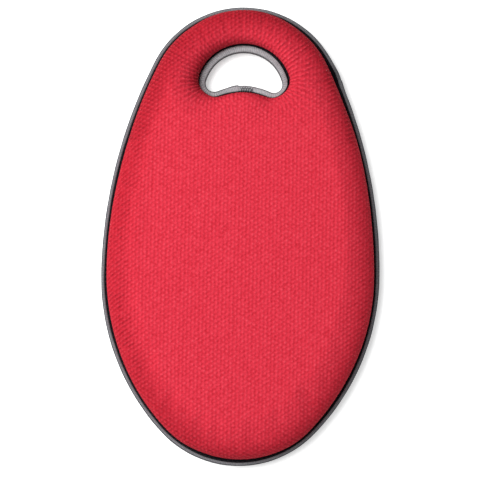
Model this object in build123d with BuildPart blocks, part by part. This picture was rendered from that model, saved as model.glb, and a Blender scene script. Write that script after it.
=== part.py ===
from build123d import *

# A padded kneeling pad: an egg-shaped foam cushion in a sewn cover, with a bound hand opening.
#
# Two foam layers lie inside two cover panels. The panels meet in a flat flange round the outside
# and round the hand opening. A folded tape wraps each flange and is stitched through it.
# The origin is on the floor under the middle of the outline, +Y points to the narrow end and +Z
# is up. Everything is in millimetres.

import os
from math import atan2, ceil, cos, degrees, radians, sin, sqrt

# Overall size
LENGTH = 460.0
WIDTH = 278.0
HEIGHT = 40.0

# The egg outline: two side arcs meet at the widest line, and a cap arc closes each end
WIDEST_Y = -40.0
UPPER_SIDE_RADIUS = 490.0
LOWER_SIDE_RADIUS = 228.0

# The hand opening: a round top, a lower edge that bows up, and two rounded corners
OPENING_RADIUS = 39.5
OPENING_TOP_Y = 183.3
OPENING_SILL_Y = 149.8
OPENING_SILL_RADIUS = 64.0
OPENING_CORNER_RADIUS = 8.5

# The sewn seam and the tape folded round it
SEAM_Z = 13.0
COVER_THICKNESS = 2.0
FLANGE_INSET = 1.0
TAPE_THICKNESS = 0.8
TAPE_WIDTH = 9.0
TAPE_NOSE_RADIUS = 2.6
FOLD_CLEARANCE = 0.02

# The cushion above and below the seam
EDGE_NECK = 9.2
OPENING_NECK = 9.5
BULGE_INSET = 6.0
BULGE_LOW_Z = 16.6
SHOULDER_RADII = (15.0, 13.0)
TUCK_RADIUS = 2.0
BASE_RADII = (7.0, 5.0)
FOAM_CLEARANCE = 0.1

# The stitches that hold the tapes
THREAD_RADIUS = 0.35
THREAD_CLEARANCE = 0.02
STITCH_PITCH = 5.0
STITCH_LENGTH = 3.8
EDGE_STITCH_INSET = 5.0
OPENING_STITCH_INSET = 7.2

# The lapped ends of the two tapes, and the zigzag tack through each lap
LAP_LENGTH = 16.0
LAP_THICKNESS = 0.6
LAP_INNER_INSET = 8.6
EDGE_LAP_TURN = 24.7
TACK_COUNT = 9
TACK_LENGTH = 3.4
TACK_STEP = 1.3
TACK_LEAN = 32.0
EDGE_TACK_INSET = 4.0
OPENING_TACK_INSET = 5.0

# Sizes that follow from the ones above
LAYER_Z = BULGE_LOW_Z + COVER_THICKNESS
INNER_SHOULDER_RADII = [radius - COVER_THICKNESS for radius in SHOULDER_RADII]
INNER_BASE_RADII = [radius - COVER_THICKNESS for radius in BASE_RADII]
FOAM_INSET = COVER_THICKNESS + FOAM_CLEARANCE
FLANGE_HALF = COVER_THICKNESS + FOLD_CLEARANCE
TAPE_HALF = COVER_THICKNESS + TAPE_THICKNESS
LAP_HALF = TAPE_HALF + LAP_THICKNESS
EDGE_LAP_XY = (
    WIDTH / 2 - UPPER_SIDE_RADIUS * (1 - cos(radians(EDGE_LAP_TURN))),
    WIDEST_Y + UPPER_SIDE_RADIUS * sin(radians(EDGE_LAP_TURN)),
)
OPENING_LAP_XY = (0.0, OPENING_SILL_Y)


def cap_radius(side_radius, end_y):
    """Radius of the end arc that touches a side arc and the end of the outline."""
    across = side_radius - WIDTH / 2
    along = abs(end_y - WIDEST_Y)
    return (side_radius**2 - across**2 - along**2) / (2 * (side_radius - along))


def egg(inset):
    """The egg outline as a sketch, with every arc moved inwards by inset."""
    half_width = WIDTH / 2 - inset
    with BuildSketch() as outline:
        with BuildLine():
            for end, side_radius in ((1, UPPER_SIDE_RADIUS), (-1, LOWER_SIDE_RADIUS)):
                side = side_radius - inset
                cap = cap_radius(side_radius, end * LENGTH / 2) - inset
                cap_y = end * (LENGTH / 2 - inset - cap)
                turn = degrees(atan2(abs(cap_y - WIDEST_Y), side - half_width))
                CenterArc((half_width - side, WIDEST_Y), side, 0, end * turn)
                CenterArc((side - half_width, WIDEST_Y), side, 180, -end * turn)
                CenterArc((0, cap_y), cap, end * turn, end * (180 - 2 * turn))
        make_face()
    return outline.sketch


def hand_opening(outset):
    """The hand opening as a sketch, with every arc moved away from its middle by outset."""
    top = OPENING_RADIUS + outset
    sill = OPENING_SILL_RADIUS - outset
    corner = OPENING_CORNER_RADIUS + outset
    top_y = OPENING_TOP_Y - OPENING_RADIUS
    sill_y = OPENING_SILL_Y - OPENING_SILL_RADIUS
    to_top = OPENING_RADIUS - OPENING_CORNER_RADIUS
    to_sill = OPENING_SILL_RADIUS + OPENING_CORNER_RADIUS
    corner_y = ((to_sill**2 - to_top**2) / (top_y - sill_y) + top_y + sill_y) / 2
    corner_x = sqrt(to_top**2 - (corner_y - top_y) ** 2)
    top_turn = degrees(atan2(corner_y - top_y, corner_x))
    sill_turn = degrees(atan2(corner_y - sill_y, corner_x))
    corner_turn = top_turn + 180 - sill_turn
    with BuildSketch() as outline:
        with BuildLine():
            CenterArc((0, top_y), top, top_turn, 180 - 2 * top_turn)
            CenterArc((-corner_x, corner_y), corner, 180 - top_turn, corner_turn)
            CenterArc((0, sill_y), sill, sill_turn, 180 - 2 * sill_turn)
            CenterArc((corner_x, corner_y), corner, top_turn, -corner_turn)
        make_face()
    return outline.sketch


def pad_slab(edge_inset, opening_outset, low_z, high_z, top_radii=(0, 0), base_radii=(0, 0)):
    """A slab of the pad with the hand opening through it. Each pair of radii rounds its outer
    edge and its edge at the opening."""
    with BuildPart() as slab:
        with BuildSketch(Plane.XY.offset(low_z)):
            add(egg(edge_inset))
            add(hand_opening(opening_outset), mode=Mode.SUBTRACT)
        extrude(amount=high_z - low_z)
        for end, (edge_radius, opening_radius) in ((-1, top_radii), (0, base_radii)):
            if edge_radius:
                face = faces().filter_by(Axis.Z).sort_by(Axis.Z)[end]
                fillet(face.outer_wire().edges(), edge_radius)
            if opening_radius:
                face = faces().filter_by(Axis.Z).sort_by(Axis.Z)[end]
                fillet(face.inner_wires()[0].edges(), opening_radius)
    return slab.part


def tape_ring(outer, inner, half_height, fold_is_inside):
    """A closed ring of tape between two outlines, rounded on its folded side."""
    with BuildPart() as ring:
        with BuildSketch(Plane.XY.offset(SEAM_Z - half_height)):
            add(outer)
            add(inner, mode=Mode.SUBTRACT)
        extrude(amount=2 * half_height)
        for end in (-1, 0):
            face = faces().filter_by(Axis.Z).sort_by(Axis.Z)[end]
            fold = face.inner_wires()[0] if fold_is_inside else face.outer_wire()
            fillet(fold.edges(), TAPE_NOSE_RADIUS)
    return ring.part


def stitch_places(outline, height, lap_xy):
    """Evenly spaced places along an outline at one height, with none on the lap."""
    wire = outline.faces()[0].outer_wire()
    count = ceil(wire.length / STITCH_PITCH)
    places = []
    for i in range(count):
        point = wire.position_at(i / count)
        from_lap = (Vector(point.X, point.Y) - Vector(*lap_xy)).length
        if from_lap < LAP_LENGTH / 2 + STITCH_PITCH:
            continue
        place = Plane((point.X, point.Y, height), x_dir=wire.tangent_at(i / count), z_dir=(0, 0, 1))
        places.append(place.location)
    return places


def tack_places(lap, inset):
    """Zigzag places in a bar along a lap, on its upper and its lower side."""
    places = []
    for side in (1, -1):
        for i in range(TACK_COUNT):
            along = (i - (TACK_COUNT - 1) / 2) * TACK_STEP
            height = side * (LAP_HALF + THREAD_CLEARANCE + THREAD_RADIUS)
            lean = TACK_LEAN if i % 2 else -TACK_LEAN
            places.append(lap.location * Location((along, inset, height), (0, 0, lean)))
    return places


# The foam layers
with BuildPart() as memory_foam_layer:
    add(
        pad_slab(
            BULGE_INSET + FOAM_INSET,
            OPENING_NECK + FOAM_INSET,
            LAYER_Z,
            HEIGHT - FOAM_INSET,
            top_radii=INNER_SHOULDER_RADII,
        )
    )

with BuildPart() as eva_foam_layer:
    add(
        pad_slab(
            EDGE_NECK + FOAM_INSET,
            OPENING_NECK + FOAM_INSET,
            FOAM_INSET,
            LAYER_Z - FOAM_CLEARANCE,
            base_radii=INNER_BASE_RADII,
        )
    )

# The spaces that the cover panels leave for the foam
upper_space = pad_slab(
    BULGE_INSET + COVER_THICKNESS,
    OPENING_NECK + COVER_THICKNESS,
    LAYER_Z,
    HEIGHT - COVER_THICKNESS,
    top_radii=INNER_SHOULDER_RADII,
)
lower_space = pad_slab(
    EDGE_NECK + COVER_THICKNESS,
    OPENING_NECK + COVER_THICKNESS,
    COVER_THICKNESS,
    LAYER_Z,
    base_radii=INNER_BASE_RADII,
)

# The cover panels: a bulging body, a neck down to the seam, and the flange in the seam
with BuildPart() as top_cover:
    add(
        pad_slab(
            BULGE_INSET,
            OPENING_NECK,
            BULGE_LOW_Z,
            HEIGHT,
            top_radii=SHOULDER_RADII,
            base_radii=(TUCK_RADIUS, 0),
        )
    )
    add(pad_slab(EDGE_NECK, OPENING_NECK, SEAM_Z, LAYER_Z))
    add(pad_slab(FLANGE_INSET, FLANGE_INSET, SEAM_Z, SEAM_Z + COVER_THICKNESS))
    add(upper_space, mode=Mode.SUBTRACT)
    add(lower_space, mode=Mode.SUBTRACT)

with BuildPart() as base_cover:
    add(pad_slab(EDGE_NECK, OPENING_NECK, 0, SEAM_Z, base_radii=BASE_RADII))
    add(pad_slab(FLANGE_INSET, FLANGE_INSET, SEAM_Z - COVER_THICKNESS, SEAM_Z))
    add(lower_space, mode=Mode.SUBTRACT)

# Each lap's plane has x along the tape and y away from the folded side
lap_along = (-sin(radians(EDGE_LAP_TURN)), cos(radians(EDGE_LAP_TURN)), 0)
edge_lap = Plane(origin=(*EDGE_LAP_XY, SEAM_Z), x_dir=lap_along, z_dir=(0, 0, 1))
opening_lap = Plane(origin=(*OPENING_LAP_XY, SEAM_Z), x_dir=(-1, 0, 0), z_dir=(0, 0, 1))

# The tapes: each starts as its lap alone, gains the plain ring, and is then slotted for the flange

with BuildPart() as edge_binding:
    add(tape_ring(egg(-LAP_THICKNESS), egg(LAP_INNER_INSET), LAP_HALF, False))
    with Locations(edge_lap.location):
        Box(LAP_LENGTH, 4 * TAPE_WIDTH, 4 * LAP_HALF, mode=Mode.INTERSECT)
    add(tape_ring(egg(0), egg(TAPE_WIDTH), TAPE_HALF, False))
    with BuildSketch(Plane.XY.offset(SEAM_Z - FLANGE_HALF)):
        add(egg(FLANGE_INSET - FOLD_CLEARANCE))
    extrude(amount=2 * FLANGE_HALF, mode=Mode.SUBTRACT)

with BuildPart() as handle_binding:
    add(tape_ring(hand_opening(LAP_INNER_INSET), hand_opening(-LAP_THICKNESS), LAP_HALF, True))
    with Locations(opening_lap.location):
        Box(LAP_LENGTH, 4 * TAPE_WIDTH, 4 * LAP_HALF, mode=Mode.INTERSECT)
    add(tape_ring(hand_opening(TAPE_WIDTH), hand_opening(0), TAPE_HALF, True))
    with BuildSketch(Plane.XY.offset(SEAM_Z - FLANGE_HALF)):
        add(hand_opening(2 * TAPE_WIDTH))
        add(hand_opening(FLANGE_INSET - FOLD_CLEARANCE), mode=Mode.SUBTRACT)
    extrude(amount=2 * FLANGE_HALF, mode=Mode.SUBTRACT)

# The stitches: each row lies along its tape, above or below the seam
edge_stitch_line = egg(EDGE_STITCH_INSET)
opening_stitch_line = hand_opening(OPENING_STITCH_INSET)
thread_height = TAPE_HALF + THREAD_CLEARANCE + THREAD_RADIUS

with BuildPart() as edge_stitches_top:
    with Locations(*stitch_places(edge_stitch_line, SEAM_Z + thread_height, EDGE_LAP_XY)):
        Cylinder(THREAD_RADIUS, STITCH_LENGTH, rotation=(0, 90, 0))

with BuildPart() as edge_stitches_base:
    with Locations(*stitch_places(edge_stitch_line, SEAM_Z - thread_height, EDGE_LAP_XY)):
        Cylinder(THREAD_RADIUS, STITCH_LENGTH, rotation=(0, 90, 0))

with BuildPart() as handle_stitches_top:
    with Locations(*stitch_places(opening_stitch_line, SEAM_Z + thread_height, OPENING_LAP_XY)):
        Cylinder(THREAD_RADIUS, STITCH_LENGTH, rotation=(0, 90, 0))

with BuildPart() as handle_stitches_base:
    with Locations(*stitch_places(opening_stitch_line, SEAM_Z - thread_height, OPENING_LAP_XY)):
        Cylinder(THREAD_RADIUS, STITCH_LENGTH, rotation=(0, 90, 0))

with BuildPart() as edge_join_bartack:
    with Locations(*tack_places(edge_lap, EDGE_TACK_INSET)):
        Cylinder(THREAD_RADIUS, TACK_LENGTH, rotation=(90, 0, 0))

with BuildPart() as handle_join_bartack:
    with Locations(*tack_places(opening_lap, OPENING_TACK_INSET)):
        Cylinder(THREAD_RADIUS, TACK_LENGTH, rotation=(90, 0, 0))

pieces = {
    "memory_foam_layer": memory_foam_layer,
    "eva_foam_layer": eva_foam_layer,
    "top_cover": top_cover,
    "base_cover": base_cover,
    "edge_binding": edge_binding,
    "handle_binding": handle_binding,
    "edge_stitches_top": edge_stitches_top,
    "edge_stitches_base": edge_stitches_base,
    "handle_stitches_top": handle_stitches_top,
    "handle_stitches_base": handle_stitches_base,
    "edge_join_bartack": edge_join_bartack,
    "handle_join_bartack": handle_join_bartack,
}

os.makedirs("parts", exist_ok=True)
for name, piece in pieces.items():
    piece.part.label = name
    export_step(piece.part, f"parts/{name}.step")
    print(name, len(piece.part.solids()), "solids", round(piece.part.volume), "mm3")
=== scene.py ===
"""The looks of a padded kneeling pad: cloth covers, foam, folded tapes, thread, light and camera.

Lengths are in millimetres until a mesh is made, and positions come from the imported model's boxes.
"""

import math

import bpy
import numpy as np
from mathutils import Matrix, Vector


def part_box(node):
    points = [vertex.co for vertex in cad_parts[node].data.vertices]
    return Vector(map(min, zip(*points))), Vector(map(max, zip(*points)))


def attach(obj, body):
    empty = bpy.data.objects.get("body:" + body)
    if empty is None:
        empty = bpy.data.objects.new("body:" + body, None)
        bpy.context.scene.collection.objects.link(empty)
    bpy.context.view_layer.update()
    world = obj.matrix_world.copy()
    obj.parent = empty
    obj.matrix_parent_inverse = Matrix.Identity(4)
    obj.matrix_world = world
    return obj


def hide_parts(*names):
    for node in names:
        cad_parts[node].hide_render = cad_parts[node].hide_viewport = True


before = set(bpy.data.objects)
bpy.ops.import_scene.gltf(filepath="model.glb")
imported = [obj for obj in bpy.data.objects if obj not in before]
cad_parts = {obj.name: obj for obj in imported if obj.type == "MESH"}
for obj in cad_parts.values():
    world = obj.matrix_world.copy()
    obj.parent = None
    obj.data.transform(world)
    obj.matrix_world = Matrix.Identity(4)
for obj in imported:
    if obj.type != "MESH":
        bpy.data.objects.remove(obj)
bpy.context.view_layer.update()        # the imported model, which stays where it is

MM = 0.001

# ------------------------------------------------------------------ sizes, in millimetres
tape_low, tape_high = (np.array(corner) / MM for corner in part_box("edge_binding"))
HALF_WIDTH, HALF_LENGTH = tape_high[0], tape_high[1]
SEAM = (tape_low[2] + tape_high[2]) / 2
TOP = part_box("top_cover")[1].z / MM
TAPE_WIDTH = 9.0
OPENING_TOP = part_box("handle_binding")[1].y / MM - TAPE_WIDTH

# The egg outline: two side arcs meet at the widest line, and a cap closes each end
WIDEST_Y = -40.0
UPPER_SIDE_RADIUS = 490.0
LOWER_SIDE_RADIUS = 228.0

# The hand opening: a round top, two corners, and a lower edge that bows up
OPENING_RADIUS = 39.5
OPENING_SILL_Y = 149.8
OPENING_SILL_RADIUS = 64.0
OPENING_CORNER_RADIUS = 8.5

# The knit's lattice: the steps from one dimple to its neighbours
KNIT_A = np.array([3.75, -2.1])
KNIT_B = np.array([0.0, 4.57])
KNIT_RELIEF = 0.18
FAN_GROWTH = 16.0

# The sum of the knit's three cosines runs from -WAVES_LOW to WAVES_SPAN - WAVES_LOW
WAVES_LOW = 1.5
WAVES_SPAN = 4.5

# How many times finer than the knit's lattice the meshes are
FINE = 3
MEDIUM = 2

# Fabric and thread
COVER_THICKNESS = 2.0
CROWN = 1.6
SEAM_GAP = 0.02
STITCH_PITCH = 5.0
STITCH_HEIGHT = 2.2
THREAD_RADIUS = 0.35
LAP_LENGTH = 16.0

# The flat fabric's coordinates go from 0 to 1 over this span, with the pad's middle in their middle
FLAT_SPAN = 600.0
FLAT_MIDDLE = 0.5


# ------------------------------------------------------------------ outlines
class Outline:
    """A closed loop of tangent arcs, anticlockwise. An arc that sweeps clockwise bows inwards."""

    def __init__(self, arcs):
        centres, radii, begins, sweeps = zip(*arcs)
        self.centres = np.array(centres, float)
        self.radii, self.begins, self.sweeps = map(np.array, (radii, begins, sweeps))
        self.starts = np.concatenate([[0], np.cumsum(self.radii * abs(self.sweeps))])
        self.length = self.starts[-1]

    def locate(self, points):
        """Each point's depth inside the loop, distance along it, and outward direction."""
        depth = np.full(len(points), np.inf)
        along = np.zeros(len(points))
        out = np.zeros((len(points), 2))
        slack = 1e-7
        arcs = zip(self.centres, self.radii, self.begins, self.sweeps, self.starts)
        for centre, radius, begin, sweep, start in arcs:
            side = np.sign(sweep)
            arm = points - centre
            reach = np.maximum(np.hypot(arm[:, 0], arm[:, 1]), slack)
            turn = side * (np.arctan2(arm[:, 1], arm[:, 0]) - begin)
            turn = (turn + slack) % (2 * np.pi) - slack
            arc_depth = side * (radius - reach)
            near = (turn <= abs(sweep) + slack) & (abs(arc_depth) < abs(depth))
            depth[near] = arc_depth[near]
            along[near] = start + radius * turn[near]
            out[near] = side * (arm / reach[:, None])[near]
        return depth, along, out

    def at(self, along):
        """Points on the loop and outward directions, for distances along it."""
        along = np.asarray(along, float) % self.length
        arc = np.clip(np.searchsorted(self.starts, along, side="right") - 1, 0, len(self.radii) - 1)
        side = np.sign(self.sweeps[arc])
        angle = self.begins[arc] + side * (along - self.starts[arc]) / self.radii[arc]
        direction = np.stack([np.cos(angle), np.sin(angle)], axis=1)
        return self.centres[arc] + self.radii[arc, None] * direction, side[:, None] * direction


def egg_outline():
    arcs = []
    for half, (end, side) in enumerate(((1, UPPER_SIDE_RADIUS), (-1, LOWER_SIDE_RADIUS))):
        across = side - HALF_WIDTH
        along = abs(end * HALF_LENGTH - WIDEST_Y)
        cap = (side**2 - across**2 - along**2) / (2 * (side - along))
        cap_y = end * (HALF_LENGTH - cap)
        turn = math.atan2(abs(cap_y - WIDEST_Y), across)
        begin = half * math.pi
        arcs.append(((-end * across, WIDEST_Y), side, begin, turn))
        arcs.append(((0, cap_y), cap, begin + turn, math.pi - 2 * turn))
        arcs.append(((end * across, WIDEST_Y), side, begin + math.pi - turn, turn))
    return Outline(arcs)


def opening_outline(grow=0.0):
    """The hand opening's edge, or a line that runs around it at a distance."""
    top_y = OPENING_TOP - OPENING_RADIUS
    sill_y = OPENING_SILL_Y - OPENING_SILL_RADIUS
    to_top = OPENING_RADIUS - OPENING_CORNER_RADIUS
    to_sill = OPENING_SILL_RADIUS + OPENING_CORNER_RADIUS
    corner_y = ((to_sill**2 - to_top**2) / (top_y - sill_y) + top_y + sill_y) / 2
    corner_x = math.sqrt(to_top**2 - (corner_y - top_y) ** 2)
    top_turn = math.atan2(corner_y - top_y, corner_x)
    sill_turn = math.atan2(corner_y - sill_y, corner_x)
    corner_turn = top_turn + math.pi - sill_turn
    corner = OPENING_CORNER_RADIUS + grow
    return Outline(
        [
            ((0, top_y), OPENING_RADIUS + grow, top_turn, math.pi - 2 * top_turn),
            ((-corner_x, corner_y), corner, math.pi - top_turn, corner_turn),
            ((0, sill_y), OPENING_SILL_RADIUS - grow, math.pi - sill_turn, 2 * sill_turn - math.pi),
            ((corner_x, corner_y), corner, math.pi + sill_turn, corner_turn),
        ]
    )


EDGE = egg_outline()
OPENING = opening_outline()
FAN = opening_outline(FAN_GROWTH)


def at_corners(along):
    """1 at the opening's two corners, fading to 0 a little way along its edge from them."""
    spread = 8
    middles = (OPENING.starts[:-1] + OPENING.starts[1:]) / 2
    return sum(np.exp(-(((along - middles[k]) / spread) ** 2)) for k in (1, 3))


def smoothstep(low, high, x):
    t = np.clip((x - low) / (high - low), 0, 1)
    return t * t * (3 - 2 * t)


# ------------------------------------------------------------------ fabric on the pad
def rounded(points, rounds=3):
    """Cuts the corners of an open line, again and again, and keeps its two ends."""
    line = np.array(points, float)
    for _ in range(rounds):
        first, last = line[:1], line[-1:]
        near = 0.75 * line[:-1] + 0.25 * line[1:]
        far = 0.25 * line[:-1] + 0.75 * line[1:]
        line = np.concatenate([first, np.stack([near, far], axis=1).reshape(-1, 2), last])
    return line


class Profile:
    """The line that fabric follows from the flat of the pad, over its shoulder, to the seam.

    Its points are (distance from the outline, height), and reach is how much flat fabric it takes.
    """

    def __init__(self, points, reach):
        self.line = rounded(points)
        self.reach = reach
        self.begin = self.line[0, 0]
        self.limit = self.begin - reach
        self.level = self.line[0, 1]

    def lengths(self):
        return np.concatenate([[0], np.cumsum(np.hypot(*np.diff(self.line, axis=0).T))])

    def at(self, distance):
        """Distance from the outline and height of fabric that lay at a distance when it was flat."""
        lengths = self.lengths()
        used = np.clip(self.begin - distance, 0, self.reach)
        travel = used + (lengths[-1] - self.reach) * (used / self.reach) ** 2
        offset = np.interp(travel, lengths, self.line[:, 0])
        height = np.interp(travel, lengths, self.line[:, 1])
        return np.where(distance < self.begin, offset, distance), height

    def lining(self, thickness, side):
        """The same line on the inside of the fabric, which stops at the seam."""
        inner = Profile(self.line[[0, -1]], self.reach)
        step = np.gradient(self.line, axis=0)
        step /= np.hypot(*step.T)[:, None]
        inward = side * np.stack([-step[:, 1], step[:, 0]], axis=1)
        inner.line = self.line + thickness * inward
        seam = SEAM + side * SEAM_GAP
        inner.line[:, 1] = side * np.maximum(side * inner.line[:, 1], side * seam)
        inner.line[:, 0] = np.maximum(inner.line[:, 0], self.line[-1, 0])
        inner.line[-1] = (self.line[-1, 0], seam)
        inner.level = inner.line[0, 1]
        return inner


def knit_grid(divisions):
    """Flat points on the knit's lattice, as a grid that covers the pad with room to spare."""
    spare = 34.0
    columns = math.ceil((HALF_WIDTH + spare) / KNIT_A[0])
    rows = math.ceil((HALF_LENGTH + spare + abs(KNIT_A[1]) * columns) / KNIT_B[1])
    i = np.arange(-columns * divisions, columns * divisions + 1) / divisions
    j = np.arange(-rows * divisions, rows * divisions + 1) / divisions
    return i[:, None, None] * KNIT_A + j[None, :, None] * KNIT_B


def refined(values, divisions):
    """In-between values on a grid that is some divisions finer."""
    for axis in (0, 1):
        count = values.shape[axis]
        place = np.linspace(0, count - 1, (count - 1) * divisions + 1)
        low = np.minimum(place.astype(int), count - 2)
        share = (place - low).reshape([-1 if k == axis else 1 for k in range(values.ndim)])
        values = np.take(values, low, axis) * (1 - share) + np.take(values, low + 1, axis) * share
    return values


def softened(values, rounds):
    for _ in range(rounds):
        for axis in (0, 1):
            beside = np.roll(values, 1, axis) + np.roll(values, -1, axis)
            values = 0.5 * values + 0.25 * beside
    return values


class Skin:
    """A piece of fabric cut from the knit's lattice, with its flat points and its triangles."""

    def __init__(self, edge, hole, divisions):
        self.edge, self.hole = edge, hole
        grid = knit_grid(divisions)
        self.shape = grid.shape[:2]
        flat = grid.reshape(-1, 2)
        self.find(flat)
        keep = (self.depth >= edge.limit) & (self.outset >= hole.limit)
        number = np.arange(len(flat)).reshape(self.shape)
        a, b = number[:-1, :-1].ravel(), number[1:, :-1].ravel()
        c, d = number[1:, 1:].ravel(), number[:-1, 1:].ravel()
        triangles = np.concatenate([np.stack([a, b, c], 1), np.stack([a, c, d], 1)])
        triangles = triangles[keep[triangles].all(axis=1)]
        self.used = np.unique(triangles)
        renumber = np.full(len(flat), -1)
        renumber[self.used] = np.arange(len(self.used))
        self.triangles = renumber[triangles]
        self.snap(flat[self.used])

    def find(self, flat):
        self.flat = flat
        self.depth, self.along, self.out = EDGE.locate(flat)
        hole_depth, self.hole_along, self.hole_out = OPENING.locate(flat)
        self.outset = -hole_depth

    def snap(self, flat):
        """Moves the points along each cut exactly on to it."""
        self.find(flat)
        around = np.bincount(self.triangles.ravel(), minlength=len(flat))
        cut = around < 6
        past_edge = self.depth - self.edge.limit
        past_hole = self.outset - self.hole.limit
        at_edge = cut & (past_edge <= past_hole)
        at_hole = cut & (past_edge > past_hole)
        flat = flat + self.out * np.where(at_edge, past_edge, 0)[:, None]
        flat = flat - self.hole_out * np.where(at_hole, past_hole, 0)[:, None]
        self.find(flat)
        self.at_edge, self.at_hole = at_edge, at_hole

    def drape(self, crown=0.0):
        """Carries the flat fabric on to the pad, crowned a little in the middle."""
        offset, height = self.edge.at(self.depth)
        hole_offset, hole_height = self.hole.at(self.outset)
        plan = self.flat + self.out * (self.depth - offset)[:, None]
        plan += self.hole_out * (hole_offset - self.outset)[:, None]
        z = height + hole_height - self.edge.level
        middle = smoothstep(0, 95, self.depth) * smoothstep(0, 60, self.outset)
        fall = crown * (1 - middle) * np.clip((z - SEAM) / (self.edge.level - SEAM), 0, 1)
        self.points = np.column_stack([plan, z - fall])
        return self.points

    def normals(self):
        corners = self.points[self.triangles]
        faces = np.cross(corners[:, 1] - corners[:, 0], corners[:, 2] - corners[:, 0])
        total = np.zeros_like(self.points)
        for k in range(3):
            np.add.at(total, self.triangles[:, k], faces)
        return total / np.maximum(np.linalg.norm(total, axis=1), 1e-12)[:, None]


def knit_height(flat):
    """The knit's relief, from 0 in the dimples to 1 on the bumps, a little uneven."""
    turns = flat @ np.linalg.inv(np.stack([KNIT_A, KNIT_B])) * 2 * np.pi
    waves = np.cos(turns[:, 0]) + np.cos(turns[:, 1]) + np.cos(turns[:, 0] - turns[:, 1])
    x, y = flat.T
    wander_x = np.sin(0.9 * x + 2.3 * np.sin(0.31 * y))
    wander_y = np.sin(0.7 * y + 1.9 * np.sin(0.27 * x))
    uneven = 1 + 0.3 * wander_x * wander_y
    return uneven * (waves + WAVES_LOW) / WAVES_SPAN


def creases(along, length, distance, pitch, near, far):
    """Fine folds that run in from a seam of some length, each with its own reach and depth."""
    turn = 2 * np.pi * along / length
    count = round(length / pitch)
    phase = count * turn / 2 + 1.3 * np.sin(5 * turn) + 0.8 * np.sin(11 * turn + 1.0)
    index = np.floor(phase / np.pi + 0.5) % count
    own = 0.5 + 0.5 * np.sin(index * 2.4 + 0.7)
    reach = near + (far - near) * (0.35 + 0.65 * own)
    fade = smoothstep(near * 0.3, near, distance) * (1 - smoothstep(0.25 * reach, reach, distance))
    return -np.cos(phase) ** 4 * fade * (0.35 + 0.65 * own)


# ------------------------------------------------------------------ meshes
def new_piece(name, points, faces, node, material, uv=None, corner_uv=None):
    """Makes a mesh object in metres that stands for a CAD node and rides on the one body.

    Its flat coordinates are given for each point, or for each corner of each face.
    """
    mesh = bpy.data.meshes.new(name)
    mesh.from_pydata((np.asarray(points) * MM).tolist(), [], [list(map(int, f)) for f in faces])
    if uv is not None:
        corner_uv = uv[np.concatenate([np.asarray(face) for face in faces])]
    if corner_uv is not None:
        layer = mesh.uv_layers.new(name="flat")
        layer.data.foreach_set("uv", corner_uv.astype(np.float32).ravel())
    mesh.shade_smooth()
    piece = bpy.data.objects.new(name, mesh)
    bpy.context.scene.collection.objects.link(piece)
    piece.data.materials.append(material)
    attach(piece, "root")
    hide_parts(node)
    return piece


def put_attribute(piece, name, values):
    attribute = piece.data.attributes.new(name, "FLOAT", "POINT")
    attribute.data.foreach_set("value", np.asarray(values, np.float32))


def ring_order(at, along):
    """The numbers of a cut's points, in order along it."""
    found = np.flatnonzero(at)
    return found[np.argsort(along[found])]


def bridge(first, first_along, second, second_along):
    """Triangles between two closed rings of points, both in order along the same line."""
    faces, i, j = [], 0, 0
    n, m = len(first), len(second)
    past_end = 1e6
    while i < n or j < m:
        next_first = first_along[(i + 1) % n] + (i + 1 >= n) * past_end
        next_second = second_along[(j + 1) % m] + (j + 1 >= m) * past_end
        if j >= m or (i < n and next_first <= next_second):
            faces.append((first[i % n], first[(i + 1) % n], second[j % m]))
            i += 1
        else:
            faces.append((first[i % n], second[(j + 1) % m], second[j % m]))
            j += 1
    return faces


def flat_uv(*skins):
    """The flat coordinates of every point of some skins."""
    return np.concatenate([skin.flat for skin in skins]) / FLAT_SPAN + FLAT_MIDDLE


def shell(outer, inner, side):
    """Joins a fabric's outside and inside into one closed shell. side is -1 if it faces down."""
    count = len(outer.points)
    points = np.concatenate([outer.points, inner.points])
    faces = [outer.triangles[:, ::side], inner.triangles[:, ::-side] + count]
    for at, along in (("at_edge", "along"), ("at_hole", "hole_along")):
        rings = []
        for skin, base in ((outer, 0), (inner, count)):
            order = ring_order(getattr(skin, at), getattr(skin, along))
            rings += [order + base, getattr(skin, along)[order]]
        strip = np.array(bridge(*rings))
        turn = side * (1 if at == "at_edge" else -1)
        faces.append(strip[:, ::-turn])
    return points, np.concatenate(faces), flat_uv(outer, inner)


def closed_pad(upper, lower):
    """Joins two skins cut from the same flat shape into one closed pad."""
    count = len(upper.points)
    points = np.concatenate([upper.points, lower.points])
    faces = np.concatenate([upper.triangles, lower.triangles[:, ::-1] + count])
    edge = np.flatnonzero(upper.at_edge | upper.at_hole)
    same = np.arange(len(points))
    same[edge + count] = edge
    kept = np.unique(same)
    renumber = np.zeros(len(points), int)
    renumber[kept] = np.arange(len(kept))
    return points[kept], renumber[same[faces]], flat_uv(upper, lower)[kept]


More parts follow.
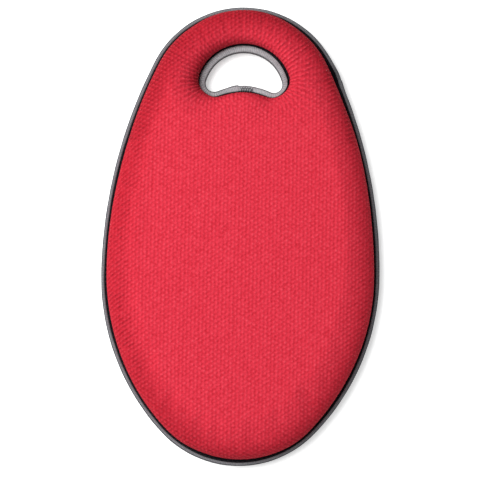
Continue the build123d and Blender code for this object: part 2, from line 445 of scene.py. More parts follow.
# ------------------------------------------------------------------ tapes and thread
class Tape:
    """A folded tape swept along an outline, from its cross-section on the upper side.

    The section's points are (distance from the fold, height above the seam): the outside first,
    from the raw edge to the fold, and then the inside, back to the raw edge.
    """

    def __init__(self, outline, inward, outside, inside, groove, dark, lean, lap_at, kink, step):
        self.outline, self.inward, self.groove = outline, inward, groove
        self.dark, self.lean, self.lap_at, self.kink = dark, lean, lap_at, kink
        over = rounded(outside, 2)
        under = rounded(inside, 2)
        mirrored = over[::-1] * (1, -1)
        lining = np.concatenate([under[::-1] * (1, -1), under[1:]])
        self.section = np.concatenate([over, mirrored[1:], lining])
        self.outer = np.arange(len(self.section)) < 2 * len(over) - 1
        turn = np.roll(self.section, -1, axis=0) - np.roll(self.section, 1, axis=0)
        turn /= np.maximum(np.hypot(*turn.T), 1e-9)[:, None]
        self.normal = np.stack([turn[:, 1], -turn[:, 0]], axis=1)
        self.normal[~self.outer] = 0
        self.along = np.arange(0, outline.length, step)

    def from_lap(self, along):
        length = self.outline.length
        return (along - self.lap_at + length / 2) % length - length / 2

    def bulge(self, along):
        """How far the tape stands out of its line round the lap."""
        return self.kink * np.exp(-((self.from_lap(along) / LAP_LENGTH) ** 2) * 3)

    def lap(self):
        """How far the lap stands up at each station: a long slope, and then a folded end."""
        past_end = self.from_lap(self.along) + LAP_LENGTH / 2
        return smoothstep(-LAP_LENGTH, -2, past_end) * smoothstep(0.5, -0.6, past_end)

    def surface(self, place, out, lap_height):
        """The tape's points at each station, with its lap, ripples, and puffs between needle holes."""
        along, lap = self.along[:, None], self.lap()[:, None]
        distance, height = self.section.T
        stitch = np.cos(2 * np.pi * along / STITCH_PITCH)
        seam = np.exp(-((distance - self.groove) ** 2)) * self.outer
        puff = 0.22 * (0.5 - 0.5 * stitch) * seam * (1 - lap)
        ripple = 0.08 * np.sin(along / 5.3) * np.sin(distance * 1.7 + along / 23)
        lifted = lap_height * lap * smoothstep(self.groove + 1.2, self.groove - 0.8, distance)
        rise = lifted + puff + ripple
        sway = 0.125 * np.sin(along / 61 + 0.5) + 0.075 * np.sin(along / 19)
        offset = distance + rise * self.normal[:, 0] + sway * smoothstep(0, 2, distance)
        offset = offset - self.bulge(along)
        plan = place[:, None] - self.inward * out[:, None] * offset[:, :, None]
        z = SEAM + height + rise * self.normal[:, 1]
        return np.concatenate([plan, z[:, :, None]], axis=2)

    def quads(self):
        """The faces between stations, and where each of their corners lies on the flat tape."""
        stations, count = len(self.along), len(self.section)
        number = np.arange(stations * count).reshape(stations, count)
        right, up = np.roll(number, -1, axis=0), np.roll(number, -1, axis=1)
        both = np.roll(right, -1, axis=1)
        faces = np.stack([number, right, both, up], axis=2).reshape(-1, 4)[:, :: int(self.inward)]
        across = np.concatenate([[0], np.cumsum(np.hypot(*np.diff(self.section, axis=0).T))])
        at = faces // count
        around = (at == 0) & (at.max(axis=1) == stations - 1)[:, None]
        u = self.along[at] + self.outline.length * around
        return faces, np.stack([u, across[faces % count]], axis=2).reshape(-1, 2) * MM

    def shade(self, out):
        """How dark each point is, as painted shade: most in the groove, then under the fold, and a
        little on the right, away from the light.
        """
        distance = self.section[:, 0]
        near, far = self.dark
        near = near - self.lean(self.along, out)[:, None]
        groove = smoothstep(near - 0.6, near + 0.4, distance) * smoothstep(far + 0.5, far, distance)
        fold = 0.75 * smoothstep(1.7, 0.6, distance)
        right = 0.25 * np.maximum(0, out[:, :1])
        return np.maximum(np.maximum(groove, fold), right) * self.outer

    def build(self, name, node, material, lap_height):
        place, out = self.outline.at(self.along)
        points = self.surface(place, out, lap_height).reshape(-1, 3)
        faces, uv = self.quads()
        piece = new_piece(name, points, faces, node, material, corner_uv=uv)
        put_attribute(piece, "shade", self.shade(out).ravel())

    def groove_line(self, along, distance, height):
        """Points that lie along the tape, at a distance from its fold and a height off the seam."""
        place, out = self.outline.at(along)
        plan = place - self.inward * out * np.reshape(distance - self.bulge(along), (-1, 1))
        return np.column_stack([plan, np.broadcast_to(SEAM + np.asarray(height), len(plan))])


def tubes(paths, radius, sides=8):
    """Round thread along each path of points, with tapered ends, as points and faces."""
    points, faces = [], []
    turn = np.arange(sides) * 2 * np.pi / sides
    for path in paths:
        ahead = np.gradient(path, axis=0)
        ahead /= np.linalg.norm(ahead, axis=1)[:, None]
        across = np.cross(ahead, (0, 0, 1))
        across /= np.linalg.norm(across, axis=1)[:, None]
        up = np.cross(across, ahead)
        ends = np.minimum(np.arange(len(path)), np.arange(len(path))[::-1])
        thick = radius * np.where(ends == 0, 0.55, 1.0)
        rim = across[:, None] * np.cos(turn)[:, None] + up[:, None] * np.sin(turn)[:, None]
        base = sum(len(rings) for rings in points)
        points.append((path[:, None] + thick[:, None, None] * rim).reshape(-1, 3))
        for k in range(len(path) - 1):
            for s in range(sides):
                n = (s + 1) % sides
                low, high = base + k * sides, base + (k + 1) * sides
                faces.append((low + s, low + n, high + n, high + s))
        faces.append(tuple(base + s for s in reversed(range(sides))))
        last = base + (len(path) - 1) * sides
        faces.append(tuple(last + s for s in range(sides)))
    return np.concatenate(points), faces


def stitch_paths(tape, side):
    """Arched stitches in the tape's groove, whose ends dive into the cloth, with none on the lap."""
    length = tape.outline.length
    count = round(length / STITCH_PITCH)
    arch = np.linspace(-1, 1, 9)
    paths = []
    for i in range(count):
        middle = (i + 0.5) * length / count
        if abs(tape.from_lap(middle)) < LAP_LENGTH / 2 + STITCH_PITCH / 2:
            continue
        along = middle + arch * STITCH_PITCH * 0.44
        height = side * (STITCH_HEIGHT - 0.75 * abs(arch) ** 3)
        slanted = tape.groove + 0.18 * arch
        paths.append(tape.groove_line(along, slanted, height))
    return paths


def tack_path(tape, side, near, far, height, turns):
    """Thread that zigzags through the lap and crosses itself on the way back."""
    half = LAP_LENGTH / 2 - 1.5
    out = np.linspace(0, 1, 12 * turns + 1)
    travel = np.concatenate([out, out[-2::-1]])
    way_back = np.arange(len(travel)) >= len(out)
    zigzag = 2 * abs((travel * turns / 2 + 0.5 * way_back) % 1 - 0.5)
    lift = 0.18 * np.where(way_back, -1, 1) * np.sin(travel * turns * 2 * np.pi)
    along = tape.lap_at + half * (2 * travel - 1)
    return tape.groove_line(along, near + (far - near) * zigzag, side * (height + lift))


# ------------------------------------------------------------------ materials
class Nodes:
    """A short way to write a material's node tree."""

    def __init__(self, name, roughness, sheen=0.0):
        self.material = bpy.data.materials.new(name)
        self.material.use_nodes = True
        self.tree = self.material.node_tree
        self.shader = self.tree.nodes["Principled BSDF"]
        self.shader.inputs["Roughness"].default_value = roughness
        self.shader.inputs["Specular IOR Level"].default_value = 0.05
        self.shader.inputs["Sheen Weight"].default_value = sheen
        self.shader.inputs["Sheen Roughness"].default_value = 0.45

    def add(self, kind, **values):
        node = self.tree.nodes.new(kind)
        for name, value in values.items():
            setattr(node, name, value)
        return node

    def link(self, value, socket):
        if isinstance(value, (int, float, tuple)):
            socket.default_value = value
        else:
            self.tree.links.new(value, socket)

    def math(self, operation, *values):
        node = self.add("ShaderNodeMath", operation=operation)
        for value, socket in zip(values, node.inputs):
            self.link(value, socket)
        return node.outputs[0]

    def noise(self, vector, scale, detail):
        node = self.add("ShaderNodeTexNoise")
        self.link(vector, node.inputs["Vector"])
        node.inputs["Scale"].default_value = scale
        node.inputs["Detail"].default_value = detail
        return node.outputs["Fac"]

    def ramp(self, value, *stops):
        node = self.add("ShaderNodeValToRGB")
        while len(node.color_ramp.elements) < len(stops):
            node.color_ramp.elements.new(0.5)
        for element, (position, colour) in zip(node.color_ramp.elements, stops):
            element.position = position
            element.color = (*colour, 1)
        self.link(value, node.inputs[0])
        return node.outputs[0]

    def mix(self, share, first, second):
        node = self.add("ShaderNodeMix", data_type="RGBA")
        self.link(share, node.inputs["Factor"])
        for colour, socket in ((first, node.inputs[6]), (second, node.inputs[7])):
            self.link((*colour, 1) if isinstance(colour, tuple) else colour, socket)
        return node.outputs[2]

    def bump(self, height, distance, strength):
        node = self.add("ShaderNodeBump")
        self.link(height, node.inputs["Height"])
        node.inputs["Distance"].default_value = distance
        node.inputs["Strength"].default_value = strength
        self.link(node.outputs[0], self.shader.inputs["Normal"])

    def colour(self, value):
        self.link(value, self.shader.inputs["Base Color"])

    def flat(self):
        """Coordinates in the flat fabric."""
        return self.split(self.add("ShaderNodeUVMap", uv_map="flat").outputs[0])[:2]

    def split(self, vector):
        node = self.add("ShaderNodeSeparateXYZ")
        self.link(vector, node.inputs[0])
        return node.outputs

    def attribute(self, name):
        return self.add("ShaderNodeAttribute", attribute_name=name).outputs["Fac"]

    def stripes(self, name, pitch, waver):
        """Stripes across a stored distance in millimetres, that waver with some noise."""
        place = self.math("MULTIPLY_ADD", waver, 3.0, self.attribute(name))
        wave = self.math("SINE", self.math("MULTIPLY", place, 2 * math.pi / pitch))
        return self.math("MULTIPLY_ADD", wave, 0.5, 0.5)

    def place(self):
        return self.add("ShaderNodeTexCoord").outputs["Object"]


def red_knit():
    """Red knitted fabric: bumps on its lattice and fine yarns, with painted shade in its dimples, dark
    rows near the rim, dark stripes in its folds, and a darker rim and slope left of the opening.
    """
    m = Nodes("red_knit", roughness=0.85)
    u, v = m.flat()
    back = np.linalg.inv(np.stack([KNIT_A, KNIT_B])) * FLAT_SPAN * 2 * np.pi
    x = m.math("SUBTRACT", u, FLAT_MIDDLE)
    y = m.math("SUBTRACT", v, FLAT_MIDDLE)
    turns = [
        m.math("ADD", m.math("MULTIPLY", x, float(back[0, k])), m.math("MULTIPLY", y, float(back[1, k])))
        for k in (0, 1)
    ]
    waves = m.math("ADD", m.math("COSINE", turns[0]), m.math("COSINE", turns[1]))
    waves = m.math("ADD", waves, m.math("COSINE", m.math("SUBTRACT", turns[0], turns[1])))
    knit = m.math("MULTIPLY_ADD", waves, 1 / WAVES_SPAN, WAVES_LOW / WAVES_SPAN)
    place = m.place()
    yarn = m.noise(place, 480.0, 4.0)
    cloud = m.noise(place, 22.0, 3.0)
    uneven = m.noise(place, 130.0, 2.0)
    patchy = m.math("MULTIPLY_ADD", m.noise(place, 210.0, 2.0), 2.6, -0.8)
    rows = []
    # Painted shade: dark dashes in the gaps between knit rows near the rim
    for name, phase in (("rows_up", m.math("SUBTRACT", turns[0], turns[1])), ("rows_down", turns[1])):
        gap = m.math("MULTIPLY_ADD", m.math("COSINE", phase), -0.5, 0.5)
        rows.append(m.math("MULTIPLY", m.math("MULTIPLY", gap, patchy), m.attribute(name)))
    # Fold stripes round the opening and along the edge: they shape the bump, and their darkening of the
    # colour is painted shade
    stripes = m.stripes("fan", 3.9, yarn)
    stripes = m.math("MULTIPLY", stripes, m.attribute("gather_and_fold_shade"))
    edge_stripes = m.stripes("edge_fan", 4.3, yarn)
    stripes = m.math("MULTIPLY_ADD", edge_stripes, m.attribute("edge_gather_and_fold_shade"), stripes)
    stripes = m.math("ADD", stripes, m.math("ADD", *rows))
    # Painted shade in the knit's dimples: the colour is darker there than on the bumps
    dots = m.math("MULTIPLY", m.math("POWER", knit, 1.7), uneven)
    tone = m.math("MULTIPLY_ADD", dots, 0.37, m.math("MULTIPLY", yarn, 0.66))
    fabric = m.ramp(
        tone, (0.18, (0.40, 0.013, 0.024)), (0.40, (0.54, 0.028, 0.049)), (0.85, (0.69, 0.076, 0.104))
    )
    fabric = m.mix(m.math("MULTIPLY", cloud, 0.15), fabric, (0.46, 0.018, 0.034))
    # Painted shade: the open attribute darkens the red over the rim and on the slope left of the opening
    fabric = m.mix(m.attribute("open"), fabric, (0.21, 0.001, 0.005))
    # Painted shade: the fold stripes and knit rows darken the red towards near black
    m.colour(m.mix(m.math("MULTIPLY", stripes, 0.62), fabric, (0.12, 0.001, 0.004)))
    height = m.math("MULTIPLY_ADD", yarn, 0.8, knit)
    m.bump(m.math("MULTIPLY_ADD", stripes, -3.0, height), 0.0004, 0.9)
    return m.material


def woven(name, dark, light, pitch):
    """Plain woven cloth: threads over and under on the flat fabric, with the pitch in mm."""
    m = Nodes(name, roughness=0.8, sheen=0.05)
    u, v = m.flat()
    rate = 2 * math.pi * FLAT_SPAN / pitch
    warp = m.math("SINE", m.math("MULTIPLY", u, rate))
    weft = m.math("SINE", m.math("MULTIPLY", v, rate))
    weave = m.math("MULTIPLY_ADD", m.math("MULTIPLY", warp, weft), 0.5, 0.5)
    place = m.place()
    speckle = m.noise(place, 900.0, 2.0)
    cloud = m.noise(place, 18.0, 3.0)
    tone = m.math("MULTIPLY_ADD", weave, 0.5, m.math("MULTIPLY", speckle, 0.5))
    fabric = m.ramp(tone, (0.2, dark), (0.8, light))
    m.colour(m.mix(m.math("MULTIPLY", cloud, 0.3), fabric, dark))
    m.bump(m.math("MULTIPLY_ADD", speckle, 0.4, weave), 0.0003, 0.7)
    return m.material


def ribbed_tape(name, dark, light):
    """Grey ribbed tape: fine ribs across it, with painted shade where it folds under and in the seam's
    groove.
    """
    m = Nodes(name, roughness=0.55)
    rib_pitch, rib_slant = 0.0017, 500.0
    u, v = m.flat()
    place = m.place()
    fibre = m.noise(place, 700.0, 3.0)
    cloud = m.noise(place, 60.0, 3.0)
    slanted = m.math("MULTIPLY", v, rib_slant)
    rib = m.math("SINE", m.math("MULTIPLY_ADD", u, 2 * math.pi / rib_pitch, slanted))
    weave = m.math("MULTIPLY_ADD", rib, 0.5, 0.5)
    tone = m.math("MULTIPLY_ADD", weave, 0.25, m.math("MULTIPLY", fibre, 0.75))
    cloth = m.ramp(tone, (0.2, dark), (0.8, light))
    cloth = m.mix(m.math("MULTIPLY", cloud, 0.35), cloth, dark)
    # Painted shade: the shade attribute mixes the tape towards near black
    m.colour(m.mix(m.attribute("shade"), cloth, (0.003, 0.003, 0.005)))
    m.bump(m.math("MULTIPLY_ADD", fibre, 0.5, weave), 0.0002, 0.9)
    return m.material


def twisted_thread(name, dark, light):
    """Twisted thread, with fine diagonal plies."""
    m = Nodes(name, roughness=0.55)
    plies_rate = 9000.0
    place = m.place()
    x, y, z = m.split(place)
    along = m.math("ADD", m.math("ADD", x, y), z)
    ply = m.math("SINE", m.math("MULTIPLY", along, plies_rate))
    fibre = m.noise(place, 2500.0, 2.0)
    tone = m.math("MULTIPLY_ADD", ply, 0.25, m.math("MULTIPLY_ADD", fibre, 0.5, 0.25))
    m.colour(m.ramp(tone, (0.1, dark), (0.9, light)))
    m.bump(tone, 0.0001, 0.7)
    return m.material


def foam(name, dark, light, cell, roughness):
    """Foam with open or closed cells of about the given size in metres."""
    m = Nodes(name, roughness)
    place = m.place()
    cells = m.add("ShaderNodeTexVoronoi", feature="F1")
    m.link(place, cells.inputs["Vector"])
    cells.inputs["Scale"].default_value = 1 / cell
    cloud = m.noise(place, 40.0, 4.0)
    tone = m.math("MULTIPLY_ADD", cells.outputs["Distance"], 0.7, m.math("MULTIPLY", cloud, 0.4))
    m.colour(m.ramp(tone, (0.1, dark), (0.8, light)))
    m.bump(cells.outputs["Distance"], 0.0004, 0.8)
    return m.material


def pale_floor():
    m = Nodes("pale_floor", roughness=0.9)
    cloud = m.noise(m.place(), 3.0, 2.0)
    m.colour(m.ramp(cloud, (0.0, (0.90, 0.90, 0.90)), (1.0, (0.93, 0.93, 0.93))))
    m.shader.inputs["Emission Color"].default_value = (1, 1, 1, 1)
    m.shader.inputs["Emission Strength"].default_value = 0.4
    return m.material


# ------------------------------------------------------------------ cover profiles
# Each point is (distance from the outline, height). The last points lie in the seam, in the tape.
TOP_EDGE = [
    (30, TOP), (21, TOP - 0.5), (14.5, TOP - 2.4), (10.0, TOP - 5.8), (7.2, TOP - 10.6),
    (6.2, TOP - 15), (6.3, SEAM + 7.2), (7.2, SEAM + 4.8), (9.2, SEAM + 3.5), (9.8, SEAM + 2.2),
    (8.2, SEAM + 1.0), (6.6, SEAM + 0.8), (2.4, SEAM + 0.8),
]
TOP_HOLE = [
    (26, TOP), (18.4, TOP - 0.5), (12.8, TOP - 2.8), (9.3, TOP - 7.4), (8.0, TOP - 13.5),
    (8.3, SEAM + 6.8), (9.6, SEAM + 4.6), (10.5, SEAM + 3.0), (10.2, SEAM + 0.6), (8.4, SEAM + 0.4),
    (3.4, SEAM + 0.4),
]
BASE_EDGE = [
    (24, 0), (17, 0), (12.0, 0.8), (9.6, 3.2), (9.0, 6.5), (9.6, SEAM - 2.7), (8.2, SEAM - 1.0),
    (6.6, SEAM - 0.8), (1.2, SEAM - 0.8),
]
BASE_HOLE = [
    (24, 0), (16.5, 0), (12.2, 0.8), (10.2, 3.2), (9.7, 6.5), (10.0, SEAM - 2.4), (9.0, SEAM - 1.0),
    (7.2, SEAM - 0.8), (1.2, SEAM - 0.8),
]

# The foam layers meet at this height
LAYER = 18.6
MEMORY_EDGE = [
    (30, TOP - 2.4), (22, TOP - 3.0), (16.2, TOP - 4.8), (12.2, TOP - 7.8), (9.5, TOP - 12.2),
    (8.6, TOP - 16), (8.6, 20.6),
]
MEMORY_EDGE_LOW = [(30, LAYER), (15, LAYER), (9.1, LAYER), (8.6, 19.2), (8.6, 20.6)]
MEMORY_HOLE = [
    (26, TOP - 2.4), (19.8, TOP - 3.0), (15.2, TOP - 5.2), (12.3, TOP - 9.4), (11.2, TOP - 14.5),
    (11.4, 20.6),
]
MEMORY_HOLE_LOW = [(26, LAYER), (15, LAYER), (11.8, LAYER), (11.4, 19.2), (11.4, 20.6)]
EVA_EDGE = [(24, LAYER - 0.1), (14, LAYER - 0.1), (11.8, LAYER - 0.1), (11.5, 17.6), (11.5, 10)]
EVA_EDGE_LOW = [(24, 2.3), (18, 2.3), (13.8, 2.9), (11.8, 5.2), (11.5, 10)]
EVA_HOLE = [(24, LAYER - 0.1), (15, LAYER - 0.1), (12.4, LAYER - 0.1), (12.1, 17.6), (12.1, 10)]
EVA_HOLE_LOW = [(24, 2.3), (18, 2.3), (13.8, 2.9), (12.3, 5.2), (12.1, 10)]

# How much flat fabric each side takes between the flat of the pad and its last point
TOP_REACH, TOP_HOLE_REACH = 47.0, 31.0
BASE_REACH, BASE_HOLE_REACH = 34.0, 29.0
FOAM_REACH, FOAM_HOLE_REACH = 16.0, 12.0


# ------------------------------------------------------------------ cloth
def simulated(points, rest, triangles, pinned, pressure, cap, frames=20):
    """Lets cloth settle under pressure, held at its pins, and returns how far each point moved."""
    mesh = bpy.data.meshes.new("cloth")
    mesh.from_pydata((points * MM).tolist(), [], triangles.tolist())
    cloth = bpy.data.objects.new("cloth", mesh)
    bpy.context.scene.collection.objects.link(cloth)
    cloth.shape_key_add(name="Basis")
    key = cloth.shape_key_add(name="rest")
    key.data.foreach_set("co", (rest * MM).astype(np.float32).ravel())
    group = cloth.vertex_groups.new(name="pin")
    for weight in np.unique(pinned):
        group.add(np.flatnonzero(pinned == weight).tolist(), float(weight), "REPLACE")
    modifier = cloth.modifiers.new("cloth", "CLOTH")
    settings = modifier.settings
    settings.vertex_group_mass = "pin"
    settings.rest_shape_key = key
    settings.quality = 6
    settings.mass = 0.12
    settings.tension_stiffness = settings.compression_stiffness = 18
    settings.shear_stiffness = 8
    settings.bending_stiffness = 0.25
    settings.air_damping = 4
    settings.use_pressure = True
    settings.uniform_pressure_force = pressure
    settings.effector_weights.gravity = 0
    modifier.collision_settings.use_collision = False
    modifier.collision_settings.use_self_collision = False
    modifier.point_cache.frame_start, modifier.point_cache.frame_end = 1, frames
    scene = bpy.context.scene
    for number in range(1, frames + 1):
        scene.frame_set(number)
    settled = cloth.evaluated_get(bpy.context.evaluated_depsgraph_get()).to_mesh()
    moved = np.zeros(len(points) * 3, np.float32)
    settled.vertices.foreach_get("co", moved)
    bpy.data.objects.remove(cloth)
    scene.frame_set(1)
    shift = moved.reshape(-1, 3) / MM - points
    size = np.linalg.norm(shift, axis=1)[:, None]
    return shift * np.minimum(1, cap / np.maximum(size, 1e-9))


def cloth_shift(edge, hole, crown, pressure, cap, fullness, divisions):
    """How far settled cloth moves a finer skin: a coarse skin is simulated, then smoothed in."""
    coarse = Skin(edge, hole, 1)
    points = coarse.drape(crown).copy()
    loose = smoothstep(edge.begin, edge.begin - 20, coarse.depth)
    loose_hole = smoothstep(hole.begin, hole.begin - 14, coarse.outset)
    rest = points.copy()
    rest[:, :2] += fullness * (coarse.out * loose[:, None] - coarse.hole_out * loose_hole[:, None])
    free_share = 0.62
    held = coarse.depth < edge.begin - free_share * edge.reach
    held |= coarse.outset < hole.begin - free_share * hole.reach
    shift = simulated(points, rest, coarse.triangles, held.astype(float), pressure, cap)
    grid = np.zeros((*coarse.shape, 3))
    grid.reshape(-1, 3)[coarse.used] = shift
    return softened(refined(grid, divisions), 3 * divisions)


# ------------------------------------------------------------------ the pieces
def whole(along, length):
    """1 along a closed line, and 0 where its distance starts again."""
    return smoothstep(2, 5, along) * smoothstep(length - 2, length - 5, along)


def fan_distance(flat):
    """How far round the opening each point lies, from the middle of the sill."""
    sill_middle = (FAN.starts[2] + FAN.starts[3]) / 2
    return (FAN.locate(flat)[1] - sill_middle) % FAN.length


def fan_pinch(skin):
    """How hard the fabric is gathered round the opening: most at its left, least above and below."""
    across = skin.hole_out[:, 0]
    return 0.15 + (0.65 - 0.2 * across) * across**2


def pull_wall(skin):
    """Draws the top cover's wall in and out along the edge, and swells it at the opening's corners."""
    wall = smoothstep(16, 4, skin.depth) * smoothstep(-14, -8, skin.depth)
    upper_right = smoothstep(130, 190, skin.along) * smoothstep(330, 290, skin.along)
    bottom, top = (smoothstep(0.8, 1, side * skin.out[:, 1]) for side in (-1, 1))
    waver = 0.25 * np.sin(skin.along * 14 * np.pi / EDGE.length)
    pull = 1.1 * upper_right + waver + 0.9 * bottom - 1.4 * top
    skin.points[:, :2] -= skin.out * (pull * wall)[:, None]
    lip = smoothstep(0, 4, skin.outset) * smoothstep(20, 10, skin.outset)
    swell = 2.4 * at_corners(skin.hole_along)
    skin.points[:, :2] -= skin.hole_out * (swell * lip)[:, None]


def crease_top(skin, fan):
    """Puts the knit's bumps, and the fine folds at the edge and the opening, into the top cover."""
    shown = smoothstep(-8, -2, skin.depth) * smoothstep(1, 5, skin.outset)
    relief = KNIT_RELIEF * (knit_height(skin.flat) - 0.5)
    narrow = 0.25 + 0.75 * smoothstep(20, 190, skin.flat[:, 1])
    at_edge = creases(skin.along, EDGE.length, 32 - skin.depth, pitch=8.5, near=4, far=30)
    at_hole = creases(fan, FAN.length, skin.outset + 4, pitch=5.4, near=4, far=36)
    folds = 0.7 * narrow * at_edge + 0.65 * fan_pinch(skin) * at_hole
    skin.points += skin.normals() * ((relief + folds) * shown)[:, None]
    skin.points[:, 2] = np.minimum(skin.points[:, 2], TOP + 0.4)


def top_looks(skin, fan):
    """What the red knit's material reads at each point: its fans and folds, its rows, and its painted
    shade.
    """
    across, up = skin.out.T
    beside = skin.flat[:, 1] > OPENING_SILL_Y - 60
    # Edge fold stripes, whose darker colour is painted shade, are strongest at the sides of the upper
    # half
    drawn = 0.15 + 0.4 * smoothstep(0.45, 0.8, abs(across)) * beside
    fan_reach = 40 + 22 * smoothstep(-0.2, 0.6, skin.hole_out[:, 0])
    rim = smoothstep(44, 8, skin.depth)
    low = smoothstep(-95, -165, skin.flat[:, 1])
    # Painted shade over the shoulders all round the rim, deepest at the top end
    rim_shade = 0.45 - 0.07 * across + 0.24 * np.maximum(0, up)
    rim_shade = rim_shade * smoothstep(40 - 6 * across, 4, skin.depth)
    # Painted shade on the slope left of the opening, which faces away from the light
    shaded = 0.06 + 0.26 * np.maximum(0, -skin.hole_out[:, 0]) ** 1.5
    shaded = shaded * smoothstep(24, 8, skin.outset)
    return {
        "fan": fan,
        "gather_and_fold_shade": fan_pinch(skin) * smoothstep(fan_reach, 10, skin.outset) * whole(fan, FAN.length),
        "edge_fan": skin.along,
        "edge_gather_and_fold_shade": drawn * smoothstep(30, 8, skin.depth) * whole(skin.along, EDGE.length),
        "rows_up": rim * (1 - low) * (0.46 - 0.12 * across),
        "rows_down": 0.5 * rim * low,
        # open: painted shade, the larger of the rim's and the opening's
        "open": np.maximum(rim_shade, shaded),
    }


def make_top_cover():
    edge, hole = Profile(TOP_EDGE, TOP_REACH), Profile(TOP_HOLE, TOP_HOLE_REACH)
    outer = Skin(edge, hole, FINE)
    outer.drape(CROWN)
    grid = cloth_shift(edge, hole, CROWN, pressure=2.5, cap=1.6, fullness=2.0, divisions=FINE)
    outer.points += grid.reshape(-1, 3)[outer.used]
    fan = fan_distance(outer.flat)
    pull_wall(outer)
    crease_top(outer, fan)
    inner = Skin(edge.lining(COVER_THICKNESS, 1), hole.lining(COVER_THICKNESS, 1), MEDIUM)
    inner.drape(CROWN)
    points, faces, uv = shell(outer, inner, 1)
    piece = new_piece("padded_top_cover", points, faces, "top_cover", red_knit(), uv)
    for name, values in top_looks(outer, fan).items():
        put_attribute(piece, name, np.concatenate([values, np.zeros(len(inner.points))]))


def make_base_cover():
    edge, hole = Profile(BASE_EDGE, BASE_REACH), Profile(BASE_HOLE, BASE_HOLE_REACH)
    outer = Skin(edge, hole, MEDIUM)
    outer.drape()
    around = FAN.locate(outer.flat)[1]
    folds = 0.6 * creases(outer.along, EDGE.length, 30 - outer.depth, pitch=9.0, near=4, far=22)
    folds += 0.6 * creases(around, FAN.length, outer.outset, pitch=8.0, near=5, far=26)
    shown = smoothstep(0, 5, outer.depth) * smoothstep(3, 8, outer.outset)
    outer.points += outer.normals() * (-folds * shown)[:, None]
    outer.points[:, 2] = np.maximum(outer.points[:, 2], 0)
    inner = Skin(edge.lining(COVER_THICKNESS, -1), hole.lining(COVER_THICKNESS, -1), MEDIUM)
    inner.drape()
    points, faces, uv = shell(outer, inner, -1)
    cloth = woven("charcoal_weave", (0.016, 0.016, 0.019), (0.05, 0.05, 0.056), pitch=1.1)
    piece = new_piece("base_cover_panel", points, faces, "base_cover", cloth, uv)


def make_foam(name, node, lines, material, crown=0.0):
    upper = Skin(Profile(lines[0], FOAM_REACH), Profile(lines[1], FOAM_HOLE_REACH), 1)
    lower = Skin(Profile(lines[2], FOAM_REACH), Profile(lines[3], FOAM_HOLE_REACH), 1)
    upper.drape(crown)
    lower.drape()
    points, faces, uv = closed_pad(upper, lower)
    piece = new_piece(name, points, faces, node, material, uv)


# Each tape's section is (distance from its fold, height above the seam)
EDGE_TAPE_OUTSIDE = [
    (9.0, 2.1), (9.0, 2.65), (7.8, 2.7), (6.6, 2.1), (5.2, 1.6), (4.4, 1.75), (3.6, 2.7), (2.6, 3.2),
    (1.4, 3.1), (0.5, 2.4), (0.08, 1.2), (0, 0),
]
EDGE_TAPE_INSIDE = [
    (0.9, 0), (0.9, 1.4), (1.3, 2.1), (2.7, 2.05), (3.7, 1.55), (5.0, 1.0), (6.6, 1.55), (7.8, 1.95),
    (9.0, 2.1),
]
HOLE_TAPE_OUTSIDE = [
    (9.5, 2.1), (9.5, 2.7), (9.0, 2.9), (8.4, 2.2), (7.8, 1.6), (7.1, 2.1), (6.0, 3.1), (4.2, 3.5),
    (2.0, 3.3), (0.7, 2.5), (0.1, 1.2), (0, 0),
]
HOLE_TAPE_INSIDE = [
    (0.9, 0), (0.9, 1.4), (1.3, 2.1), (4.4, 2.1), (6.2, 1.7), (7.7, 1.0), (8.8, 1.7), (9.5, 2.1),
]

EDGE_LAP_TURN = math.radians(24.7)
EDGE_LAP_AT = UPPER_SIDE_RADIUS * EDGE_LAP_TURN
OPENING_LAP_AT = float(OPENING.starts[2] + OPENING.starts[3]) / 2 + 2.5


def hole_lean(along, out):
    """How far the groove's painted shade reaches out at the opening's right side, sill and corners."""
    return 1.6 * (np.maximum(0, out[:, 0]) + np.maximum(0, -out[:, 1])) + 1.0 * at_corners(along)


def no_lean(along, out):
    return np.zeros(len(along))


def make_tapes():
    # The two tapes are one grey tape: the handle's copy is painted about twice as light as the edge's,
    # as painted light and shade
    edge_material = ribbed_tape("edge_tape", (0.085, 0.086, 0.094), (0.25, 0.251, 0.264))
    hole_material = ribbed_tape("handle_tape", (0.20, 0.201, 0.213), (0.55, 0.552, 0.57))
    edge = Tape(
        EDGE, 1, EDGE_TAPE_OUTSIDE, EDGE_TAPE_INSIDE,
        groove=4.8, dark=(3.6, 9.2), lean=no_lean, lap_at=EDGE_LAP_AT, kink=1.1, step=2.1,
    )
    hole = Tape(
        OPENING, -1, HOLE_TAPE_OUTSIDE, HOLE_TAPE_INSIDE,
        groove=7.8, dark=(7.2, 9.7), lean=hole_lean, lap_at=OPENING_LAP_AT, kink=0.5, step=0.8,
    )
    edge.build("edge_binding_tape", "edge_binding", edge_material, lap_height=0.55)
    hole.build("handle_binding_tape", "handle_binding", hole_material, lap_height=1.0)
    return edge, hole


def make_thread(name, node, paths, material):
    points, faces = tubes(paths, THREAD_RADIUS)
    new_piece(name, points, faces, node, material)


def make_stitching(edge, hole):
    # Painted shade: the stitch thread is coloured near black so it sinks into the dark of the tapes'
    # grooves
    material = twisted_thread("crease_shade_thread", (0.006, 0.006, 0.008), (0.03, 0.03, 0.034))
    tack_material = twisted_thread("charcoal_thread", (0.05, 0.05, 0.055), (0.17, 0.17, 0.18))
    for tape, word in ((edge, "edge"), (hole, "handle")):
        for side, place in ((1, "top"), (-1, "base")):
            node = f"{word}_stitches_{place}"
            make_thread(f"{node}_thread", node, stitch_paths(tape, side), material)
    for tape, word, zigzag in (
        (edge, "edge", dict(near=1.4, far=3.7, height=3.6, turns=7)),
        (hole, "handle", dict(near=2.2, far=6.4, height=4.0, turns=5)),
    ):
        node = f"{word}_join_bartack"
        paths = [tack_path(tape, side, **zigzag) for side in (1, -1)]
        make_thread(f"{node}_thread", node, paths, tack_material)


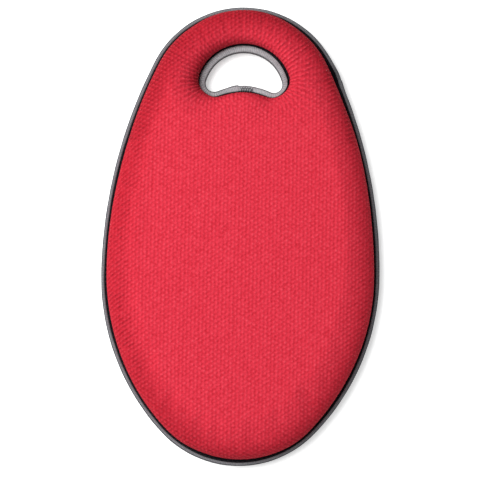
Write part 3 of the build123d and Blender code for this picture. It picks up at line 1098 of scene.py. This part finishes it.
# ------------------------------------------------------------------ floor, light and camera
def make_stage():
    half, gap = 4.0, 0.0002
    mesh = bpy.data.meshes.new("floor")
    corners = [(-half, -half, 0), (half, -half, 0), (half, half, 0), (-half, half, 0)]
    mesh.from_pydata(corners, [], [(0, 1, 2, 3)])
    floor = bpy.data.objects.new("floor", mesh)
    floor.location.z = -gap
    bpy.context.scene.collection.objects.link(floor)
    floor.data.materials.append(pale_floor())


def aim(thing, target):
    thing.rotation_euler = (Vector(target) - thing.location).to_track_quat("-Z", "Y").to_euler()


def make_light():
    world = bpy.data.worlds.new("studio")
    world.use_nodes = True
    sky = world.node_tree.nodes["Background"]
    sky.inputs["Color"].default_value = (1, 1, 1, 1)
    sky.inputs["Strength"].default_value = 0.42
    bpy.context.scene.world = world
    for name, place, size, power in (
        ("key", (-0.7, 0.25, 1.6), 1.2, 33),
        ("side", (-1.9, 0.35, 0.55), 0.9, 31),
    ):
        lamp = bpy.data.lights.new(name, "AREA")
        lamp.shape = "DISK"
        lamp.size = size
        lamp.energy = power
        light = bpy.data.objects.new(name, lamp)
        light.location = place
        bpy.context.scene.collection.objects.link(light)
        aim(light, (0, 0, 0))


def make_camera():
    """A long lens that looks almost straight down, and sees view_width metres at its target."""
    camera = bpy.data.objects.new("camera", bpy.data.cameras.new("camera"))
    bpy.context.scene.collection.objects.link(camera)
    target = Vector((-0.0010, -0.006, 0.02))
    distance, elevation, roll = 1.6, math.radians(86), math.radians(1.1)
    view_width, sensor_width = 0.478, 36
    camera.location = target + distance * Vector((0, -math.cos(elevation), math.sin(elevation)))
    aim(camera, target)
    camera.rotation_euler.rotate_axis("Z", roll)
    camera.data.sensor_width = sensor_width
    camera.data.lens = sensor_width / (view_width / distance)
    bpy.context.scene.camera = camera


make_camera()
make_light()
make_stage()
make_top_cover()
make_base_cover()
make_foam(
    "memory_foam_slab", "memory_foam_layer",
    (MEMORY_EDGE, MEMORY_HOLE, MEMORY_EDGE_LOW, MEMORY_HOLE_LOW),
    foam("cream_foam", (0.55, 0.48, 0.33), (0.86, 0.80, 0.64), 0.0012, 0.9),
    crown=CROWN + 0.4,
)
make_foam(
    "eva_foam_slab", "eva_foam_layer",
    (EVA_EDGE, EVA_HOLE, EVA_EDGE_LOW, EVA_HOLE_LOW),
    foam("grey_foam", (0.025, 0.026, 0.03), (0.07, 0.072, 0.08), 0.0007, 0.7),
)
edge_tape, hole_tape = make_tapes()
make_stitching(edge_tape, hole_tape)

bpy.context.scene.view_settings.view_transform = "Standard"
